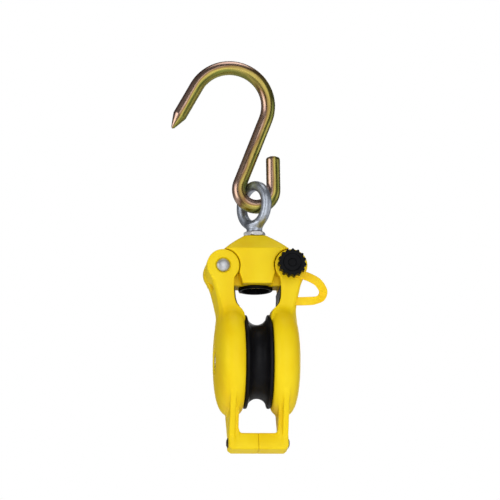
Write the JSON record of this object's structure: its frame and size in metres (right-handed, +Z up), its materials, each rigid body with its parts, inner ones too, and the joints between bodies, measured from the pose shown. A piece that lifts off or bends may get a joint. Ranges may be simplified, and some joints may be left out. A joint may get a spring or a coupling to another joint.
{
  "type": "openable cable stringing block",
  "caption": "Hook-hung openable pulley block with a grooved sheave between moulded cheeks, a swivel head with a hinge pin on one side and a captive star-knob screw on the other.",
  "frame": {"origin": "the hook's seat: the inside top of its bowl, on the hook's centre plane", "axes": "+Z up along the hanging block, X along the sheave's axle towards the knob side, Y along the cable, with the knob on the -Y side"},
  "size_m": [0.1298, 0.0932, 0.3396],
  "materials": {
    "yellow_moulding": "satin moulded",
    "strap_yellow": "soft moulded",
    "black_nylon": "satin moulded",
    "zinc_steel": "bright zinc plate",
    "yellow_passivated_zinc": "iridescent yellow passivated zinc plate",
    "bearing_steel": "ground",
    "dark_steel": "blackened",
    "bronze": "turned"
  },
  "bodies": {
    "hook": {"hook": "yellow_passivated_zinc"},
    "eye": {"eye_bolt": "zinc_steel", "eye_hex_nut": "zinc_steel", "swivel_washer": "zinc_steel", "swivel_lock_nut": "zinc_steel", "cotter_pin": "zinc_steel"},
    "head": {"head": "yellow_moulding", "swivel_bush": "bronze", "nut_cover": "black_nylon"},
    "housing": {"left_cheek": "yellow_moulding", "right_cheek": "yellow_moulding", "pivot_pin": "zinc_steel", "pivot_pin_cap": "zinc_steel", "axle_bolt": "zinc_steel", "axle_nut": "zinc_steel", "axle_washer_left": "zinc_steel", "axle_washer_right": "zinc_steel", "bearing_inner_left": "bearing_steel", "bearing_inner_right": "bearing_steel", "bearing_spacer": "zinc_steel", "crossbar_bolt": "dark_steel", "crossbar_nut": "dark_steel", "screw_insert": "bronze", "strap": "strap_yellow"},
    "sheave": {"sheave": "black_nylon", "bearing_outer_left": "bearing_steel", "bearing_outer_right": "bearing_steel", "bearing_cage_left": "bronze", "bearing_cage_right": "bronze"},
    "strap_ring": {"strap_ring": "strap_yellow"},
    "knob": {"knob": "black_nylon", "knob_screw": "zinc_steel", "knob_cap": "black_nylon"}
  },
  "joints": [
    {"name": "eye_swing", "type": "hinge", "parent": "hook", "child": "eye", "pos_m": [0.0193, 0, -0.1135], "axis": [0.8339, 0.5519, 0], "range_deg": [-45, 45]},
    {"name": "head_swivel", "type": "hinge", "parent": "eye", "child": "head", "pos_m": [0.0193, 0, -0.1513], "axis": [0, 0, 1], "continuous": true},
    {"name": "housing_open", "type": "hinge", "parent": "head", "child": "housing", "pos_m": [-0.0097, 0, -0.1696], "axis": [0, 1, 0], "range_deg": [0, 110]},
    {"name": "sheave_spin", "type": "hinge", "parent": "housing", "child": "sheave", "pos_m": [0.0193, 0, -0.2493], "axis": [1, 0, 0], "continuous": true},
    {"name": "knob_withdraw", "type": "slide", "parent": "housing", "child": "strap_ring", "axis": [0, -1, 0], "range_m": [0, 0.045]},
    {"name": "knob_turn", "type": "hinge", "parent": "strap_ring", "child": "knob", "pos_m": [0.0483, -0.024, -0.1696], "axis": [0, 1, 0], "continuous": true}
  ]
}
